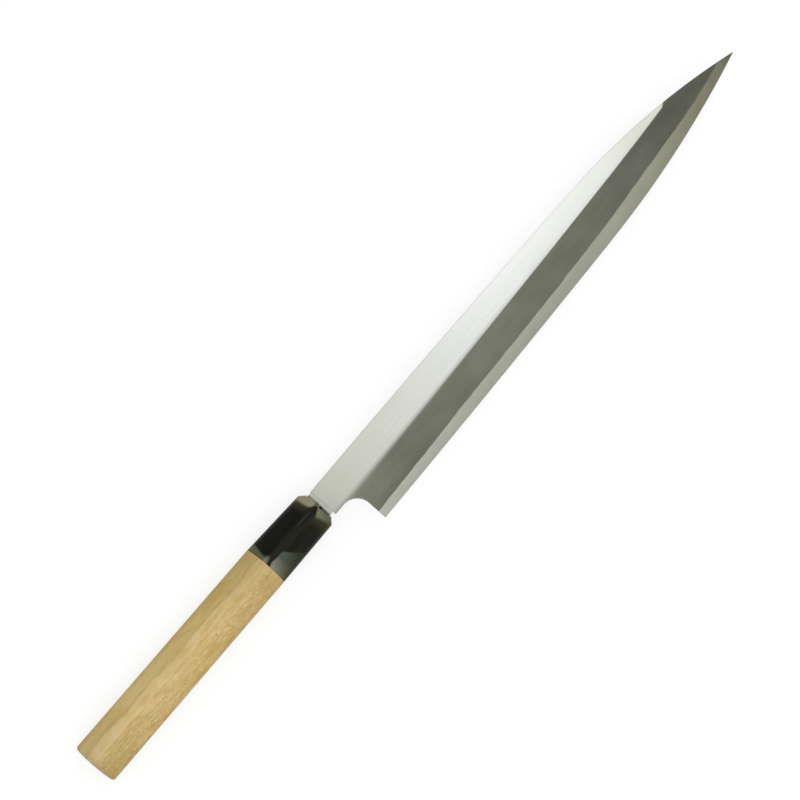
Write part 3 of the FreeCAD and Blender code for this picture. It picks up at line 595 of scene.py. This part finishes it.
# Magnolia wood handle: one billet, planed to the chestnut section, sanded and left bare.
# The grain runs lengthwise, pale and even, with a darker strip on the spine side that is partly grain
# and partly painted shade, small dark flecks on the edge side and growth rings on the butt.
BUTT_X = cad_low.x
wood, tree, place = new_material("sanded_magnolia")
x, y = add(tree, "SeparateXYZ", {0: place})[:2]

# Growth rings round a pith outside the handle. At the scale RINGS_A_UNIT_APART the rings of a wave
# texture lie one unit apart.
PITH_Y, PITH_Z = -16 * MM, -26 * MM
RING_SPACING = 2.6 * MM
RING_WAVER_LENGTH = 40 * MM
RINGS_A_UNIT_APART = 2 * math.pi / 20
ring_place = add(tree, "Mapping", {
    0: place, 1: (0, -PITH_Y / RING_SPACING, -PITH_Z / RING_SPACING),
    3: (1 / RING_WAVER_LENGTH, 1 / RING_SPACING, 1 / RING_SPACING),
})[0]
rings = add(tree, "TexWave", {
    0: ring_place, "Scale": RINGS_A_UNIT_APART, "Distortion": 5.0, "Detail": 3, "Detail Scale": 0.8,
}, wave_type="RINGS", rings_direction="X")[1]
tone = add(tree, "ValToRGB", {0: rings}, stops=(
    (0.0, linear("#dac28c")), (0.6, linear("#ddc590")), (1.0, linear("#d4bc85")),
))[0]
lengthwise = add(tree, "MapRange", {0: x, 1: BUTT_X, 2: JOINT_X})[0]
length_tone = add(tree, "ValToRGB", {0: lengthwise}, stops=(
    (0.02, grey(0.9)), (0.25, grey(1.0)), (0.7, linear("#fdfcf8")), (0.95, linear("#edebe0")),
))[0]
tone = add(tree, "Mix", {FACTOR: 1.0, FIRST: tone, SECOND: length_tone}, data_type="RGBA",
           blend_type="MULTIPLY")[BLENDED]

# The grain strays from the line of the handle, and the edge side is a shade darker towards the butt
STRAY = 2.2 * MM
warp_place = add(tree, "Mapping", {0: place, 3: mark_scale(28, 14, 14)})[0]
warp = add(tree, "TexNoise", {0: warp_place, "Scale": 1, "Detail": 3})[0]
shift = add(tree, "MapRange", {0: warp, 3: -STRAY, 4: STRAY})[0]
loose_y = add(tree, "Math", {0: y, 1: shift}, operation="ADD")[0]
across = add(tree, "MapRange", {0: loose_y, 1: -3 * MM, 2: 16 * MM})[0]
# Across the handle: a darker strip on the spine side, partly grain and partly painted shade
strip_and_shade_across = add(tree, "ValToRGB", {0: across}, stops=(
    (0.0, linear("#f5f0da")), (0.25, linear("#f9f4e6")), (0.45, linear("#fefbf4")), (0.55, grey(1.0)),
    (0.68, grey(1.0)), (0.72, linear("#e8e5d3")), (0.79, linear("#f0efde")), (1.0, linear("#efeede")),
))[0]
colour = add(tree, "Mix", {FACTOR: 1.0, FIRST: tone, SECOND: strip_and_shade_across}, data_type="RGBA",
             blend_type="MULTIPLY")[BLENDED]
edge_side = add(tree, "MapRange", {0: loose_y, 1: 7 * MM, 2: 4 * MM},
                interpolation_type="SMOOTHSTEP")[0]
butt_shade = add(tree, "ValToRGB", {0: lengthwise}, stops=(
    (0.05, linear("#f0efe3")), (0.45, grey(1.0)),
))[0]
colour = add(tree, "Mix", {FACTOR: edge_side, FIRST: colour, SECOND: butt_shade}, data_type="RGBA",
             blend_type="MULTIPLY")[BLENDED]

# Broad patches of rosy beige and ochre, and small dark and light flecks that come in clusters
patch_place = add(tree, "Mapping", {0: place, 3: mark_scale(11, 4, 4)})[0]
patches = add(tree, "TexNoise", {0: patch_place, "Scale": 1, "Detail": 3, "Distortion": 1.0})[0]
patch_tone = add(tree, "ValToRGB", {0: patches}, stops=(
    (0.35, grey(1.0)), (0.5, linear("#faf7ea")), (0.66, linear("#efe8c9")),
))[0]
colour = add(tree, "Mix", {FACTOR: 1.0, FIRST: colour, SECOND: patch_tone}, data_type="RGBA",
             blend_type="MULTIPLY")[BLENDED]
fleck_place = add(tree, "Mapping", {0: place, 3: mark_scale(2.2, 0.6, 0.6)})[0]
flecks = add(tree, "TexNoise", {0: fleck_place, "Scale": 1, "Detail": 2, "Distortion": 0.8})[0]
fleck = add(tree, "MapRange", {0: flecks, 1: 0.56, 2: 0.7}, interpolation_type="SMOOTHSTEP")[0]
fleck_side = add(tree, "MapRange", {0: loose_y, 1: 8 * MM, 2: 4 * MM, 3: 0.1, 4: 0.8},
                 interpolation_type="SMOOTHSTEP")[0]
cluster = add(tree, "MapRange", {0: warp, 1: 0.4, 2: 0.6, 3: 0.6, 4: 1.0},
              interpolation_type="SMOOTHSTEP")[0]
fleck_share = add(tree, "Math", {0: fleck_side, 1: cluster}, operation="MULTIPLY")[0]
fleck = add(tree, "Math", {0: fleck, 1: fleck_share}, operation="MULTIPLY")[0]
colour = add(tree, "Mix", {FACTOR: fleck, FIRST: colour, SECOND: linear("#a58947")},
             data_type="RGBA")[BLENDED]
gleam = add(tree, "MapRange", {0: flecks, 1: 0.44, 2: 0.32}, interpolation_type="SMOOTHSTEP")[0]
gleam = add(tree, "Math", {0: gleam, 1: fleck_share}, operation="MULTIPLY")[0]
colour = add(tree, "Mix", {FACTOR: gleam, FIRST: colour, SECOND: linear("#e0c891")},
             data_type="RGBA")[BLENDED]

# Fine fibres along the handle, drawn coarser than real ones, to show
fibre_place = add(tree, "Mapping", {0: place, 3: mark_scale(12, 0.35, 0.35)})[0]
fibres = add(tree, "TexNoise", {0: fibre_place, "Scale": 1, "Detail": 3})[0]
fibre_tone = add(tree, "MapRange", {0: fibres, 1: NOISE_LOW, 2: NOISE_HIGH, 3: 0.95, 4: 1.04})[0]
colour = add(tree, "Mix", {FACTOR: 1.0, FIRST: colour, SECOND: fibre_tone}, data_type="RGBA",
             blend_type="MULTIPLY")[BLENDED]
bump = add(tree, "Bump", {"Height": fibres, "Strength": 0.3, "Distance": 0.02 * MM})[0]
shader = add(tree, "BsdfPrincipled", {
    "Base Color": colour, "Roughness": 0.62, "IOR": 1.5, "Normal": bump,
})[0]
add(tree, "OutputMaterial", {0: shader})
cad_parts["wood_handle"].material_slots[0].material = wood

# Studio: a white floor that keeps a faint shadow, a white horizon that greys towards the top, and two
# soft boxes hung overhead, one that the flat mirrors and one for the bevel. Where the floor is seen
# it shines white by itself, a little less near the knife, so that the shadow shows.
FLOOR_HALF = 30.0
FLOOR_GREY = 0.3
NEAR, FAR = 0.4, 3.0
GLOW_NEAR, GLOW_FAR = 0.75, 1.0
floor_shape = bmesh.new()
bmesh.ops.create_grid(floor_shape, x_segments=1, y_segments=1, size=FLOOR_HALF)
floor_mesh = bpy.data.meshes.new("floor")
floor_shape.to_mesh(floor_mesh)
floor_shape.free()
floor = bpy.data.objects.new("floor", floor_mesh)
bpy.context.scene.collection.objects.link(floor)
floor_paint, tree, place = new_material("white_floor")
path = add(tree, "LightPath", {})
seen = add(tree, "Math", {0: path["Is Camera Ray"], 1: path["Is Glossy Ray"]}, operation="MAXIMUM")[0]
seen = add(tree, "Math", {0: seen, 1: path["Is Transmission Ray"]}, operation="MAXIMUM")[0]
out_from_knife = add(tree, "VectorMath", {0: place}, operation="LENGTH")["Value"]
lift = add(tree, "MapRange", {0: out_from_knife, 1: NEAR, 2: FAR, 3: GLOW_NEAR, 4: GLOW_FAR})[0]
lift = add(tree, "Math", {0: seen, 1: lift}, operation="MULTIPLY")[0]
matt = add(tree, "BsdfDiffuse", {"Color": grey(FLOOR_GREY)})[0]
glow = add(tree, "Emission", {"Color": grey(1.0), "Strength": lift})[0]
shader = add(tree, "AddShader", {0: matt, 1: glow})[0]
add(tree, "OutputMaterial", {0: shader})
floor_mesh.materials.append(floor_paint)

world = bpy.data.worlds.new("studio")
world.use_nodes = True
bpy.context.scene.world = world
tree = world.node_tree
tree.nodes.clear()
direction = add(tree, "TexCoord", {})["Generated"]
height = add(tree, "SeparateXYZ", {0: direction})["Z"]
sky_tone = add(tree, "ValToRGB", {0: height}, stops=(
    (0.05, grey(1.0)), (0.25, grey(0.92)), (0.6, grey(0.84)), (0.9, grey(0.36)),
))[0]
background = add(tree, "Background", {"Color": sky_tone, "Strength": 1.0})[0]
add(tree, "OutputWorld", {0: background})

# Name, centre, length and width, and radiance of each soft box
SOFT_BOXES = (
    ("box_over_flat", (-0.05, 0.05, 1.0), (2.0, 0.5), 1.0),
    ("box_over_bevel", (-0.50, -0.45, 1.0), (1.4, 0.6), 0.86),
)
for name, centre, (length, width), radiance in SOFT_BOXES:
    light = bpy.data.lights.new(name, "AREA")
    light.shape = "RECTANGLE"
    light.size = length
    light.size_y = width
    light.energy = radiance * math.pi * length * width
    soft_box = bpy.data.objects.new(name, light)
    soft_box.location = centre
    bpy.context.scene.collection.objects.link(soft_box)

# Camera: far above the knife and a little towards the butt, its picture turned so that the blade
# points to the upper right
CAMERA_DISTANCE = 8.0
CAMERA_LEAN = math.radians(6)
CAMERA_TURN = math.radians(-49.275)
VIEW_CENTRE = Vector((-1.77, 9.22, 8.5)) * MM
VIEW_WIDTH = 312.3 * MM
SENSOR_WIDTH = 36.0
camera_data = bpy.data.cameras.new("camera")
camera_data.sensor_width = SENSOR_WIDTH
camera_data.lens = SENSOR_WIDTH * CAMERA_DISTANCE / VIEW_WIDTH
camera = bpy.data.objects.new("camera", camera_data)
aim = Matrix.Rotation(-CAMERA_LEAN, 3, "Y") @ Matrix.Rotation(CAMERA_TURN, 3, "Z")
camera.location = VIEW_CENTRE + aim @ Vector((0, 0, CAMERA_DISTANCE))
camera.rotation_euler = aim.to_euler()
bpy.context.scene.collection.objects.link(camera)
bpy.context.scene.camera = camera
bpy.context.scene.view_settings.view_transform = "Standard"
